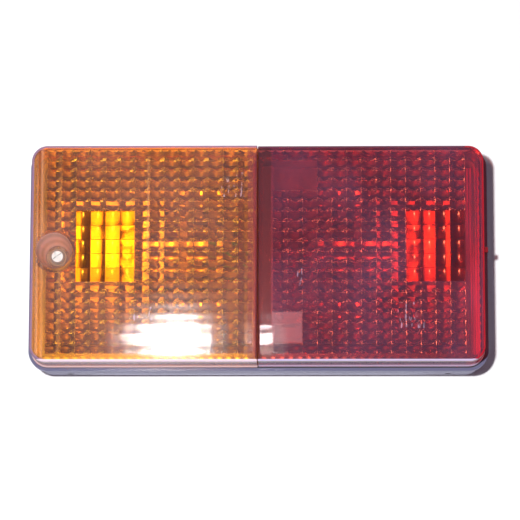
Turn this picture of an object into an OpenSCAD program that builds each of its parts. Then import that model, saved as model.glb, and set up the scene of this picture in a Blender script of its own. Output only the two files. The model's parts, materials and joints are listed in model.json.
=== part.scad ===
// Rear lamp cluster: an amber indicator lens and a red stop and tail lens on one black moulded base.
// The lamp lies on its back. X runs along the lamp, Y across it and Z out of the lenses.
// The origin is the middle of the base's flat back face.

/* [Lenses] */
// Length of the two lens faces together
lens_l = 200; // [180:1:240]
// Width of the lens face
lens_w = 96.4; // [90:0.1:110]
// Corner radius of the lens face
lens_r = 7; // [4:0.5:10]
// Thickness of the lens face
lens_face_t = 2.4; // [1.8:0.1:3]
// Thickness of the lens skirt
lens_wall_t = 2.4; // [1.8:0.1:3]
// Height of the lens skirt over the base flange
lens_h = 17; // [15:0.5:24]
// Bevel round the edge of the lens face
lens_bevel = 1; // [0.5:0.1:1.5]
// How far the foot of the skirt stands out
foot_out = 0.6; // [0.3:0.1:1]
// Height of that foot
foot_h = 2; // [1.5:0.1:3]
// Gap between the two lenses
joint_gap = 0.3; // [0.2:0.05:0.6]
// How much narrower the red lens is at each long side
red_inset = 0.3; // [0.1:0.05:0.5]

/* [Optics] */
// Pitch of the pillow optics along the lamp
pillow_x = 6.5; // [6:0.1:7.5]
// Pitch of the pillow optics across the lamp
pillow_y = 4.53; // [4:0.01:4.6]
// Depth of one pillow
pillow_h = 0.7; // [0.4:0.05:1]
// Rows of pillows across the lamp
pillow_rows = 20; // [18:1:20]
// Columns of pillows in the amber lens
amber_columns = 14; // [12:1:14]
// Columns of pillows in the red lens
red_columns = 13; // [12:1:13]
// Pitch of the flutes inside the skirt
flute_pitch = 3.9; // [3:0.1:5]
// Depth of those flutes
flute_h = 0.5; // [0.2:0.05:0.7]

/* [Base] */
// Depth of the base tray behind its flange
tray_h = 23; // [22:0.5:30]
// Wall of the tray
tray_t = 2.5; // [2:0.1:3]
// Floor of the tray
floor_t = 2.5; // [2:0.1:3]
// Height of the flange that carries the lenses
flange_h = 5; // [4.5:0.1:6]
// How far the flange stands out past the lens face
flange_out = 2; // [1.5:0.1:4]
// Distance between the two fixing holes
fixing_pitch = 140; // [136:1:150]
// Distance of the fixing holes from the middle line
fixing_y = 29; // [27:0.5:32]
// Diameter of the fixing holes
fixing_d = 5.5; // [4.5:0.1:6.5]
// Diameter of the cable entry in the floor
entry_d = 12; // [9:0.5:13]
// Hole through the cable grommet
cable_d = 7; // [5:0.5:8]

/* [Bulbs] */
// Height of the bulb axis over the back face
bulb_z = 21; // [20.5:0.1:23]
// Distance of the bulb axis from the middle line
bulb_y = 3.5; // [0:0.5:5]
// Distance of the indicator bulb's glass from its end of the lamp
amber_bulb_inset = 32.4; // [30:0.1:36]
// Distance of the stop and tail bulb's glass from its end of the lamp
red_bulb_inset = 21.7; // [20:0.1:26]
// Outer diameter of the bulb glass
glass_d = 25; // [23:0.5:26]
// Diameter of the bulb cap
cap_d = 15; // [14:0.1:15.2]
// Distance from the cap's end contact to the middle of the glass
glass_reach = 38.8; // [37:0.1:40]

/* [Lens screw] */
// Distance of the lens screw from the lens's end
screw_inset = 10.4; // [10:0.1:14]
// Distance of the lens screw from the middle line
screw_y = 1.1; // [-3:0.1:4]
// Thread diameter of the lens screw
screw_d = 3.5; // [3:0.1:4]
// Diameter of the screw head
head_d = 6.6; // [6:0.1:7.5]
// Depth of the screw head below the lens face
head_drop = 16; // [13:0.5:18]
// Mouth diameter of the screw recess
recess_mouth_d = 16; // [14:0.5:18]

/* [Hidden] */
$fn = 64;
eps = 0.02;
slack = 0.1;
amber = [0.95, 0.5, 0.05, 0.55];
red = [0.75, 0.03, 0.05, 0.55];
black = [0.06, 0.06, 0.07];
plated = [0.75, 0.75, 0.72];
brass = [0.8, 0.62, 0.25];

// Heights
flange_z = tray_h + flange_h;
seam_gap = 0.4;
skirt_z = flange_z + seam_gap;
face_z = flange_z + lens_h;
face_in_z = face_z - lens_face_t;

// Insets of each ring from the outline of the lens face
flange_in = 3.1;
tray_in = tray_t - 0.4;
tray_out = -0.4;
groove_out = -0.7;
groove_in = 1.9;
groove_depth = 3;
tongue_out = -0.2;
tongue_in = 1.4;
seal_t = 1.8;
groove_z = flange_z - groove_depth;

// Lens screw and its recess
screw_x = screw_inset - lens_l / 2;
head_z = face_z - head_drop;
head_h = 2.4;
washer_t = 0.8;
washer_d = 8;
recess_floor_z = head_z - head_h - washer_t;
recess_floor_d = 10;
recess_wall = 1.8;
pillar_z = recess_floor_z - lens_face_t;
pillar_d = 11;
insert_d = 5.6;
insert_l = 10;
screw_l = 14;

// Bulb and socket, along the bulb's own axis from its end contact
amber_bulb_x = amber_bulb_inset - lens_l / 2;
red_bulb_x = lens_l / 2 - red_bulb_inset;
cap_z = 1.2;
cap_l = 16.3;
pin_d = 2;
pin_reach = 1.25;
pin_z = 7;
pin_step = 3;
cap_wall = 0.4;
glass_t = 0.8;
neck_d = cap_d - 2 * cap_wall - 2 * slack;
shell_t = 0.7;
shell_back = -9;
shell_front = 14;
shell_d = cap_d + 2 * (slack + shell_t);
shell_bore_d = cap_d + 2 * slack;
shell_hole_d = 10;
collar_t = 0.8;
collar_out = 1;
tab_z = 2;
insulator_z = -3.5;
insulator_t = 2;
plunger_d = 2.6;
stop_contact_pitch = 6.4;
tail_z = -6;
slot_w = pin_d + 0.6;
slot_turn = 28;
slot_lead_in = 10;
slot_dip = 0.3;
bayonet_turn = 60;

// Bulb carrier plate
carrier_t = 1.2;
carrier_z = 7;
carrier_top = carrier_z + carrier_t;
carrier_y0 = -33;
carrier_y1 = 31;
tab_w = 26;
tab_over = 12;
carrier_x0 = amber_bulb_x + glass_reach - tab_z - carrier_t;
carrier_x1 = red_bulb_x - glass_reach + tab_z + carrier_t;
rivet_inset = 6;
rivet_d = 3.2;
rivet_head_d = 6.4;
rivet_head_h = 1.2;
rivet_l = 6;
rivet_x = [carrier_x0 + rivet_inset, carrier_x1 - rivet_inset];
rivet_y = [carrier_y0 + rivet_inset, carrier_y1 - rivet_inset];

// Reflectors
mirror_r = 70;
mirror_t = 0.6;
mirror_l = 31.5;
mirror_sweep = 15.75;
mirror_z = 4.1;
amber_mirror_x = amber_bulb_x + 5.6;
red_mirror_x = red_bulb_x - 13.4;
saddle_w = 3;
saddle_y = 8;

// Terminal block on the carrier plate
block_pitch = 9.5;
block_ways = 3;
block_l = block_pitch * block_ways;
block_x0 = rivet_x[1] - rivet_head_d / 2 - 0.5 - block_l;
block_w = 14;
block_h = 10;
block_y = -21;
barrel_d = 5;
barrel_bore_d = 3.2;
barrel_z = carrier_top + 4.6;
clamp_d = 2.9;
clamp_reach = 4;
peg_d = 3;
peg_head_d = 4.4;

// Leads
lead_d = 2;
lead_sides = 8;
lead_rings = 14;

// Other base features
partition_t = 2;
hood_x0 = -3.5;
hood_x1 = 6.8;
hood_w = 86;
hood_t = 1.2;
fixing_boss_d = 13;
fixing_boss_h = 4;
fixing_x = fixing_pitch / 2;
entry_x = 53 - lens_l / 2;
entry_y = -28;
drain_d = 3;
drain_x = lens_l / 2 - 15;
rib_t = 1.8;
rail_t = 1.6;
rail_depth = 2;
hook_w = 10;
hook_t = 1.8;
hook_gap = 0.2;
hook_toe = 0.8;
hook_toe_h = 1.8;
hook_end_y = 25;
hook_side_x = 10;
ledge_w = 84;
ledge_reach = 5;
ledge_t = 1.8;
nib_l = 1.6;
nib_w = 2.2;

// Pillow fields: the coarse window in front of each bulb and the columns on its sides
window_rows = 7;
window_columns = 4;
coarse_rows = 5;
window_row0 = 7;
amber_field_x0 = -lens_l / 2 + 0.3;
red_field_x0 = 6.8;
field_shift = 0.9;
field_y0 = field_shift - pillow_y * pillow_rows / 2;
amber_window_column = 3;
red_window_column = 9;
pad_t = 0.3;
amber_first_column = 1;

function rim_r(inset) = max(lens_r - inset, 0.5);

// Outline of the lens face, drawn in by an inset, with true arcs at its corners
module outline(inset) {
    l = lens_l - 2 * inset;
    w = lens_w - 2 * inset;
    r = rim_r(inset);
    square([l - 2 * r, w], center = true);
    square([l, w - 2 * r], center = true);
    for (sx = [-1, 1], sy = [-1, 1])
        translate([sx * (l / 2 - r), sy * (w / 2 - r)]) circle(r = r);
}

module slab(inset, z0, z1) {
    translate([0, 0, z0]) linear_extrude(z1 - z0) outline(inset);
}

module ring(inset_out, inset_in, z0, z1) {
    translate([0, 0, z0]) linear_extrude(z1 - z0) difference() {
        outline(inset_out);
        outline(inset_in);
    }
}

// Slab whose upper edge is bevelled all round, from prisms and corner cones
module bevelled(inset, z0, z1, bevel) {
    l = lens_l - 2 * inset;
    w = lens_w - 2 * inset;
    r = rim_r(inset);
    zb = z1 - bevel;
    slab(inset, z0, zb);
    translate([0, w / 2 - r, 0]) rotate([90, 0, 0]) linear_extrude(w - 2 * r)
        polygon([[-l / 2, zb], [l / 2, zb], [l / 2 - bevel, z1], [bevel - l / 2, z1]]);
    translate([r - l / 2, 0, 0]) rotate([90, 0, 90]) linear_extrude(l - 2 * r)
        polygon([[-w / 2, zb], [w / 2, zb], [w / 2 - bevel, z1], [bevel - w / 2, z1]]);
    for (sx = [-1, 1], sy = [-1, 1])
        translate([sx * (l / 2 - r), sy * (w / 2 - r), zb]) cylinder(h = bevel, r1 = r, r2 = r - bevel);
}

// Half space on one side of the joint between the lenses, side being -1 for amber and 1 for red
module lens_side(side) {
    big = 2 * lens_l;
    translate([side > 0 ? joint_gap / 2 : -joint_gap / 2 - big, -big / 2, -big / 2]) cube(big);
}

// Zigzag of flutes from a to b, as points along one side of the cavity
function flutes(a, b) = let (n = 2 * max(2, floor(abs(b - a) / flute_pitch)))
    [for (i = [0:n]) [a + (b - a) * i / n, i % 2 == 0 ? 0 : flute_h]];

// Cavity of one lens: a box whose three outer sides are fluted
module cavity(side, inset) {
    half_w = lens_w / 2 - inset - lens_wall_t - flute_h;
    x_in = joint_gap / 2 + lens_wall_t;
    x_out = lens_l / 2 - lens_wall_t - flute_h;
    corner = lens_r - lens_wall_t;
    top = [for (p = flutes(x_in, x_out - corner)) [p[0], half_w + p[1]]];
    end = [for (p = flutes(half_w - corner, corner - half_w)) [x_out + p[1], p[0]]];
    bottom = [for (p = flutes(x_out - corner, x_in)) [p[0], -half_w - p[1]]];
    mirror([side > 0 ? 0 : 1, 0, 0]) translate([0, 0, skirt_z - 1])
        linear_extrude(face_in_z - skirt_z + 1) polygon(concat(top, end, bottom));
}

// Block of nx by ny pillows of size px by py whose corner is at x0, y0; flat(i, j) marks smooth cells
module pillows(x0, y0, px, py, nx, ny, smooth) {
    z_top = face_in_z + 0.5;
    z_low = face_in_z - pad_t;
    columns = nx + 1;
    grid = [for (j = [0:ny], i = [0:nx]) [x0 + i * px, y0 + j * py, z_low]];
    lid = [for (j = [0:ny], i = [0:nx]) [x0 + i * px, y0 + j * py, z_top]];
    tips = [for (j = [0:ny - 1], i = [0:nx - 1])
        let (cx = x0 + (i + 0.5) * px, cy = y0 + (j + 0.5) * py)
        [cx, cy, z_low - (in_any(cx, cy, smooth) ? 0.001 : pillow_h)]];
    n = len(grid);
    slopes = [for (j = [0:ny - 1], i = [0:nx - 1])
        let (a = j * columns + i, b = a + 1, c = a + columns + 1, d = a + columns, t = 2 * n + j * nx + i)
        each [[a, b, t], [b, c, t], [c, d, t], [d, a, t]]];
    roof = [for (j = [0:ny - 1], i = [0:nx - 1])
        let (a = n + j * columns + i)
        [a, a + columns, a + columns + 1, a + 1]];
    south = [for (i = [0:nx - 1]) [i, n + i, n + i + 1, i + 1]];
    north = [for (i = [0:nx - 1]) let (a = ny * columns + i) [a + 1, n + a + 1, n + a, a]];
    west = [for (j = [0:ny - 1]) let (a = j * columns) [a + columns, n + a + columns, n + a, a]];
    east = [for (j = [0:ny - 1]) let (a = j * columns + nx) [a, n + a, n + a + columns, a + columns]];
    polyhedron(concat(grid, lid, tips), concat(slopes, roof, south, north, west, east), convexity = 4);
}

function in_any(x, y, boxes) =
    len([for (b = boxes) if (x > b[0] && x < b[2] && y > b[1] && y < b[3]) 1]) > 0;

// Pillow field of one lens: fine blocks round a coarse window
module field(x0, columns, window_column, smooth) {
    wx = x0 + window_column * pillow_x;
    wy = field_y0 + window_row0 * pillow_y;
    right = columns - window_column - window_columns;
    above = pillow_rows - window_row0 - window_rows;
    pillows(x0, field_y0, pillow_x, pillow_y, window_column, pillow_rows, smooth);
    if (right > 0)
        pillows(wx + window_columns * pillow_x, field_y0, pillow_x, pillow_y, right, pillow_rows, smooth);
    pillows(wx, field_y0, pillow_x, pillow_y, window_columns, window_row0, smooth);
    pillows(wx, wy + window_rows * pillow_y, pillow_x, pillow_y, window_columns, above, smooth);
    pillows(wx, wy, pillow_x, window_rows * pillow_y / coarse_rows, window_columns, coarse_rows, smooth);
}

// Snap hook under the flange's inner lip, drawn for the +X end at y = 0 and reach from the middle
module hook(reach) {
    lip = reach - flange_in;
    toe_z = tray_h - slack;
    translate([lip - hook_gap - hook_t, -hook_w / 2, toe_z - hook_toe_h]) {
        cube([hook_t, hook_w, skirt_z + foot_h - toe_z + hook_toe_h]);
        cube([hook_t + hook_gap + hook_toe, hook_w, hook_toe_h]);
    }
    translate([lip - hook_gap - hook_t, -hook_w / 2, skirt_z])
        cube([flange_in + hook_gap + hook_t - lens_wall_t / 2, hook_w, foot_h]);
}

module lens_shell(side, inset) {
    intersection() {
        union() {
            bevelled(inset, skirt_z, face_z, lens_bevel);
            slab(inset - foot_out, skirt_z, skirt_z + foot_h);
        }
        lens_side(side);
    }
}

module tongue(side) {
    intersection() {
        ring(tongue_out, tongue_in, groove_z + seal_t, skirt_z + 0.5);
        lens_side(side);
    }
}

// Tapered tube round the screw recess, grown for the clearance cut in the base
module recess_tube(grow) {
    cylinder(h = face_z - 1 - pillar_z, d1 = recess_floor_d + 2 * (recess_wall + grow),
        d2 = recess_mouth_d + 2 * (recess_wall + grow));
}

module amber_lens() {
    color(amber) difference() {
        union() {
            difference() {
                lens_shell(-1, 0);
                cavity(-1, 0);
            }
            tongue(-1);
            field(amber_field_x0 + amber_first_column * pillow_x, amber_columns, amber_window_column
                - amber_first_column, amber_smooth);
            translate([screw_x, screw_y, pillar_z]) recess_tube(0);
            for (s = [-1, 1]) translate([-hook_side_x, 0, 0]) rotate([0, 0, 90 * s]) hook(lens_w / 2);
        }
        translate([screw_x, screw_y, recess_floor_z])
            cylinder(h = face_z - recess_floor_z + eps, d1 = recess_floor_d, d2 = recess_mouth_d);
        translate([screw_x, screw_y, pillar_z - 1]) cylinder(h = lens_face_t + 2, d = screw_d + 0.6);
        translate([-joint_gap / 2 - ledge_reach - slack, -ledge_w / 2 - slack, skirt_z - 1])
            cube([ledge_reach + 2 * slack + joint_gap, ledge_w + 2 * slack, ledge_t + 1]);
    }
}

module red_lens() {
    color(red) union() {
        difference() {
            lens_shell(1, red_inset);
            cavity(1, red_inset);
        }
        tongue(1);
        field(red_field_x0, red_columns, red_window_column, red_smooth);
        for (s = [-1, 1]) translate([0, s * hook_end_y, 0]) hook(lens_l / 2);
        translate([-joint_gap / 2 - ledge_reach, -ledge_w / 2, skirt_z])
            cube([ledge_reach + joint_gap + lens_wall_t / 2, ledge_w, ledge_t]);
        translate([lens_l / 2 - red_inset - 1, -nib_w / 2 + 1.6, face_z - 4.2])
            cube([nib_l + 1 + red_inset, nib_w, 1.8]);
    }
}

// Smooth pads that stay free of pillows, as corner pairs on the lens
amber_smooth = [[-99, -42, -82, -27], [-93, 25, -74, 39], [-12, 27, -3, 36]];
red_smooth = [[6, -40, 26, -26], [6, 26, 26, 40]];

// Sockets and bulbs lie along X; side is -1 for the indicator, whose glass points to -X
module along_bulb(side) {
    x = side < 0 ? amber_bulb_x + glass_reach : red_bulb_x - glass_reach;
    translate([x, bulb_y, bulb_z]) rotate([0, 90 * side, 0]) children();
}

module tray_post(x, y, d, z1) {
    translate([x, y, floor_t - eps]) cylinder(h = z1 - floor_t + eps, d = d);
}

module base_housing() {
    color(black) difference() {
        union() {
            difference() {
                union() {
                    slab(tray_out, 0, tray_h + eps);
                    slab(-flange_out, tray_h, flange_z);
                }
                slab(tray_in, floor_t, tray_h);
                slab(flange_in, tray_h - eps, flange_z + 1);
                ring(groove_out, groove_in, groove_z, flange_z + 1);
            }
            for (s = [-1, 1]) tray_post(s * fixing_x, -fixing_y, fixing_boss_d, floor_t + fixing_boss_h);
            for (x = rivet_x, y = rivet_y) tray_post(x, y, rivet_head_d + 1, carrier_z);
            tray_post(screw_x, screw_y, pillar_d, pillar_z);
            pillar_rib();
            partition_rails();
            mirror_saddles(amber_mirror_x);
            mirror_saddles(red_mirror_x);
            translate([entry_x, entry_y, floor_t - eps]) cylinder(h = 1.2, d = entry_d + 5);
        }
        for (s = [-1, 1]) translate([s * fixing_x, -fixing_y, -1]) cylinder(h = 10, d = fixing_d);
        for (x = rivet_x, y = rivet_y) translate([x, y, carrier_top - rivet_l])
            cylinder(h = rivet_l, d = rivet_d + eps);
        translate([screw_x, screw_y, pillar_z - insert_l]) cylinder(h = insert_l + 1, d = insert_d + eps);
        translate([screw_x, screw_y, pillar_z - screw_l]) cylinder(h = screw_l, d = screw_d + 0.4);
        translate([screw_x, screw_y, pillar_z]) recess_tube(0.3);
        translate([entry_x, entry_y, -1]) cylinder(h = 10, d = entry_d);
        for (s = [-1, 1]) translate([s * drain_x, -lens_w / 2 - 3, floor_t + drain_d / 2])
            rotate([-90, 0, 0]) cylinder(h = 8, d = drain_d);
    }
}

module pillar_rib() {
    wall_x = tray_in - lens_l / 2;
    translate([wall_x - 1, screw_y - rib_t / 2, floor_t - eps])
        cube([screw_x - pillar_d / 2 + 1 - wall_x + 1, rib_t, tray_h - floor_t - 2]);
}

// Rails on the long walls that hold the light partition upright
module partition_rails() {
    wall_y = lens_w / 2 - tray_in;
    for (sy = [-1, 1], sx = [-1, 1])
        translate([sx * (partition_t / 2 + slack + rail_t / 2) - rail_t / 2,
            sy * (wall_y - rail_depth / 2 + 0.5) - (rail_depth + 1) / 2, floor_t - eps])
            cube([rail_t, rail_depth + 1, tray_h - floor_t - 1]);
}

module mirror_saddles(x) {
    for (s = [-1, 1]) difference() {
        translate([x + s * (mirror_l / 2 - 4) - saddle_w / 2, bulb_y - saddle_y, floor_t - eps])
            cube([saddle_w, 2 * saddle_y, 4]);
        translate([x - mirror_l, bulb_y, mirror_z + mirror_r]) rotate([0, 90, 0])
            cylinder(h = 2 * mirror_l, r = mirror_r + mirror_t + eps);
    }
}

module lens_seal() {
    color([0.1, 0.1, 0.1]) ring(groove_out + slack, groove_in - slack, groove_z, groove_z + seal_t);
}

// Upright wall between the two chambers, notched over the carrier plate and holed for a lead
module light_partition() {
    half_w = lens_w / 2 - tray_in - slack;
    top = tray_h - slack;
    color(black) difference() {
        union() {
            translate([-partition_t / 2, -half_w, floor_t]) cube([partition_t, 2 * half_w, top - floor_t]);
            translate([hood_x0, -hood_w / 2, top - hood_t]) cube([hood_x1 - hood_x0, hood_w, hood_t]);
        }
        translate([-partition_t, carrier_y0 - 1, 0])
            cube([2 * partition_t, carrier_y1 - carrier_y0 + 2, carrier_top + slack]);
        translate([0, cross_y, cross_z]) rotate([0, 90, 0])
            cylinder(h = 3 * partition_t, d = lead_d + 1.4, center = true);
    }
}

module carrier_tab(x) {
    translate([x, bulb_y - tab_w / 2, carrier_z]) cube([carrier_t, tab_w, bulb_z + tab_over - carrier_z]);
}

module bulb_carrier() {
    color(plated) difference() {
        union() {
            translate([carrier_x0, carrier_y0, carrier_z])
                cube([carrier_x1 - carrier_x0, carrier_y1 - carrier_y0, carrier_t]);
            carrier_tab(carrier_x0);
            carrier_tab(carrier_x1 - carrier_t);
        }
        for (side = [-1, 1]) along_bulb(side) translate([0, 0, tab_z - 1])
            cylinder(h = carrier_t + 2, d = shell_d + 0.04);
        for (x = rivet_x, y = rivet_y) translate([x, y, carrier_z - 1]) cylinder(h = 4, d = rivet_d + eps);
        for (x = peg_x) translate([x, block_y, carrier_z - 1]) cylinder(h = 4, d = peg_d + 2 * slack);
    }
}

module carrier_rivets() {
    color(plated) for (x = rivet_x, y = rivet_y) {
        translate([x, y, carrier_top - rivet_l]) cylinder(h = rivet_l + eps, d = rivet_d);
        translate([x, y, carrier_top]) cylinder(h = rivet_head_h, d1 = rivet_head_d, d2 = rivet_head_d - 2);
    }
}

// Socket shell with bayonet slots; steps gives the height of each of its two pin slots
module socket(steps) {
    difference() {
        union() {
            translate([0, 0, shell_back]) cylinder(h = shell_front - shell_back, d = shell_d);
            translate([0, 0, tab_z + carrier_t])
                cylinder(h = collar_t, d = shell_d + 2 * collar_out);
            translate([0, 0, tab_z - collar_t]) cylinder(h = collar_t, d = shell_d + 2 * collar_out);
        }
        translate([0, 0, shell_back + shell_t]) cylinder(h = 40, d = shell_bore_d);
        translate([0, 0, shell_back - 1]) cylinder(h = 3, d = shell_hole_d);
        for (i = [0, 1]) rotate([0, 0, bayonet_turn + 180 * i]) bayonet_slot(steps[i]);
    }
}

module bayonet_slot(z) {
    rotate([0, 0, slot_turn]) translate([0, -slot_w / 2, z - slot_w / 2 - slot_dip])
        cube([shell_d, slot_w, shell_front]);
    rotate([0, 0, -slot_lead_in]) translate([0, 0, z - slot_w / 2])
        rotate_extrude(angle = slot_turn + slot_lead_in) translate([cap_d / 2 - 1, 0]) square([4, slot_w]);
}

module indicator_socket() {
    color(plated) along_bulb(-1) socket([pin_z, pin_z]);
}

module stop_tail_socket() {
    color(plated) along_bulb(1) socket([pin_z, pin_z + pin_step]);
}

// Sprung disc that carries the contacts, with one hole per contact at the given places
module insulator(places) {
    color([0.45, 0.27, 0.12]) difference() {
        translate([0, 0, insulator_z]) cylinder(h = insulator_t, d = shell_bore_d - 0.4);
        for (p = places) translate([0, p, insulator_z - 1]) cylinder(h = insulator_t + 2, d = plunger_d);
    }
}

one_contact = [0];
two_contacts = [-stop_contact_pitch / 2, stop_contact_pitch / 2];

module indicator_insulator() {
    along_bulb(-1) insulator(one_contact);
}

module stop_tail_insulator() {
    along_bulb(1) insulator(two_contacts);
}

module contacts(places) {
    color(brass) for (p = places) translate([0, p, 0]) {
        translate([0, 0, tail_z]) cylinder(h = cap_z / 2 - 0.6 - tail_z, d = plunger_d - eps);
        translate([0, 0, insulator_z + insulator_t])
            cylinder(h = -insulator_z - insulator_t, d = plunger_d + 1.4);
    }
}

module indicator_contact() {
    along_bulb(-1) contacts(one_contact);
}

module stop_tail_contacts() {
    along_bulb(1) contacts(two_contacts);
}

// Tube swept through a list of points, with a flat cap on each end
module swept_tube(path, d, sides) {
    n = len(path);
    rings = [for (k = [0:n - 1])
        let (a = path[max(k - 1, 0)], b = path[min(k + 1, n - 1)], t = (b - a) / norm(b - a),
            helper = abs(t[2]) > 0.9 ? [1, 0, 0] : [0, 0, 1],
            u = cross(helper, t) / norm(cross(helper, t)), v = cross(t, u))
        each [for (s = [0:sides - 1]) let (turn = 360 * s / sides)
            path[k] + d / 2 * (cos(turn) * u + sin(turn) * v)]];
    walls = [for (k = [0:n - 2], s = [0:sides - 1])
        let (a = k * sides + s, b = k * sides + (s + 1) % sides)
        each [[a, b, a + sides], [b, b + sides, a + sides]]];
    first = [for (s = [0:sides - 1]) sides - 1 - s];
    last = [for (s = [0:sides - 1]) (n - 1) * sides + s];
    polyhedron(rings, concat([for (w = walls) [w[0], w[2], w[1]]], [[for (s = first) sides - 1 - s],
        [for (s = [0:sides - 1]) last[sides - 1 - s]]]), convexity = 6);
}

spring_wire = 0.7;
spring_turns = 4;
spring_steps = 14;
spring_r = shell_bore_d / 2 - 1;
spring_z0 = shell_back + shell_t + spring_wire / 2 + 0.03;
spring_z1 = insulator_z - spring_wire / 2 - 0.03;

module spring() {
    n = spring_turns * spring_steps;
    path = [for (i = [0:n]) [spring_r * cos(360 * i / spring_steps), spring_r * sin(360 * i / spring_steps),
        spring_z0 + (spring_z1 - spring_z0) * i / n]];
    swept_tube(path, spring_wire, 6);
}

module socket_springs() {
    color(plated) for (side = [-1, 1]) along_bulb(side) spring();
}

module bulb_cap(steps) {
    color([0.82, 0.8, 0.7]) rotate([0, 0, bayonet_turn]) {
        difference() {
            translate([0, 0, cap_z]) cylinder(h = cap_l, d = cap_d);
            translate([0, 0, cap_z + 1.6]) cylinder(h = cap_l, d = cap_d - 2 * cap_wall);
            translate([0, 0, cap_z - 1]) cylinder(h = 4, d = cap_d - 4);
        }
        for (i = [0, 1]) rotate([0, 0, 180 * i]) translate([cap_d / 2 - cap_wall, 0, steps[i]])
            rotate([0, 90, 0]) cylinder(h = pin_reach + cap_wall, d = pin_d);
    }
}

module indicator_bulb_cap() {
    along_bulb(-1) bulb_cap([pin_z, pin_z]);
}

module stop_tail_bulb_cap() {
    along_bulb(1) bulb_cap([pin_z, pin_z + pin_step]);
}

// Dark glass plug in the end of each cap with a solder pip for each contact
module cap_insulator(places) {
    translate([0, 0, cap_z - 0.4]) cylinder(h = 2, d = cap_d - 4 - eps);
    for (p = places) translate([0, p, 0]) cylinder(h = cap_z, d = 3);
}

module bulb_cap_insulators() {
    color([0.15, 0.15, 0.2]) {
        along_bulb(-1) cap_insulator(one_contact);
        along_bulb(1) cap_insulator(two_contacts);
    }
}

// Outline of a bulb glass turned about its axis: a neck that widens to a ball
module glass_solid(grow) {
    ball = glass_d / 2 + grow;
    neck = neck_d / 2 + grow;
    neck_z = cap_z + cap_l - 8;
    meet_z = glass_reach - 5;
    rotate_extrude() union() {
        intersection() {
            translate([0, glass_reach]) circle(r = ball);
            translate([0, 0]) square([ball + 1, glass_reach + ball + 1]);
        }
        polygon([[0, neck_z - grow], [neck, neck_z - grow], [neck, neck_z + 9],
            [sqrt(ball * ball - 25), meet_z], [0, meet_z]]);
    }
}

module bulb_glass() {
    color([0.9, 0.95, 1, 0.3]) difference() {
        glass_solid(0);
        glass_solid(-glass_t);
    }
}

module indicator_bulb_glass() {
    along_bulb(-1) bulb_glass();
}

module stop_tail_bulb_glass() {
    along_bulb(1) bulb_glass();
}

// Coil across the bulb on two support wires, with a glass bead round the wires
module filament(z, half) {
    wire = 0.5;
    stem_z = cap_z + cap_l - 8 + glass_t;
    for (s = [-1, 1]) translate([0, s * half, stem_z]) cylinder(h = z - stem_z, d = wire);
    translate([0, -half - wire / 2, z]) rotate([-90, 0, 0]) cylinder(h = 2 * half + wire, d = 0.9);
}

module indicator_filament() {
    color([0.4, 0.4, 0.42]) along_bulb(-1) union() {
        filament(glass_reach - 7, 3);
        translate([0, 0, cap_z + cap_l]) bead(3);
    }
}

module stop_tail_filaments() {
    color([0.4, 0.4, 0.42]) along_bulb(1) union() {
        for (x = [-1.6, 1.6]) translate([x, 0, 0]) filament(glass_reach - 7 + x, 3);
        translate([-1.6, 0, cap_z + cap_l]) bead(3);
        translate([1.6, 0, cap_z + cap_l]) bead(3);
        translate([-1.6, -0.6, cap_z + cap_l]) cube([3.2, 1.2, 1.2]);
    }
}

module bead(half) {
    translate([0, half + 1, 0]) rotate([90, 0, 0]) cylinder(h = 2 * half + 2, d = 2);
}

module reflector(x) {
    color([0.85, 0.85, 0.85]) translate([x - mirror_l / 2, bulb_y, mirror_z + mirror_r]) rotate([0, 90, 0])
        rotate([0, 0, -mirror_sweep]) rotate_extrude(angle = 2 * mirror_sweep)
        translate([mirror_r, 0]) square([mirror_t, mirror_l]);
}

module indicator_reflector() {
    reflector(amber_mirror_x);
}

module stop_tail_reflector() {
    reflector(red_mirror_x);
}

// Places of the terminal block's ways and pegs
way_x = [for (i = [0:block_ways - 1]) block_x0 + (i + 0.5) * block_pitch];
peg_x = [block_x0 + block_pitch, block_x0 + 2 * block_pitch];

module terminal_block() {
    color([0.85, 0.83, 0.76]) difference() {
        union() {
            translate([block_x0, block_y - block_w / 2, carrier_top]) cube([block_l, block_w, block_h]);
            for (x = peg_x) {
                translate([x, block_y, carrier_z - 1]) cylinder(h = carrier_t + 2, d = peg_d);
                translate([x, block_y, carrier_z - 1]) cylinder(h = 0.9, d = peg_head_d);
            }
        }
        for (x = way_x) {
            translate([x, block_y - block_w, barrel_z]) rotate([-90, 0, 0])
                cylinder(h = 2 * block_w, d = barrel_d + eps);
            for (s = [-1, 1]) translate([x, block_y + s * clamp_reach, barrel_z])
                cylinder(h = block_h, d = clamp_d + 1.2);
        }
    }
}

module terminal_barrels() {
    color(brass) for (x = way_x) difference() {
        translate([x, block_y - block_w / 2 + 1, barrel_z]) rotate([-90, 0, 0])
            cylinder(h = block_w - 2, d = barrel_d);
        translate([x, block_y - block_w, barrel_z]) rotate([-90, 0, 0])
            cylinder(h = 2 * block_w, d = barrel_bore_d);
        for (s = [-1, 1]) translate([x, block_y + s * clamp_reach, barrel_z])
            cylinder(h = block_h, d = clamp_d + eps);
    }
}

module terminal_screws() {
    z0 = barrel_z + lead_d / 2 + slack;
    color(plated) for (x = way_x, s = [-1, 1]) translate([x, block_y + s * clamp_reach, 0]) difference() {
        translate([0, 0, z0]) cylinder(h = 5, d = clamp_d);
        translate([-clamp_d, -0.3, z0 + 4]) cube([2 * clamp_d, 0.6, 2]);
    }
}

function bezier(p, t) = (1 - t) ^ 3 * p[0] + 3 * (1 - t) ^ 2 * t * p[1] + 3 * (1 - t) * t ^ 2 * p[2]
    + t ^ 3 * p[3];

function curve(p) = [for (i = [0:lead_rings]) bezier(p, i / lead_rings)];

// Straight ends of the leads, at a contact tail and inside a terminal way
lead_stub = 1.5;
way_stub = 5;

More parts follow.
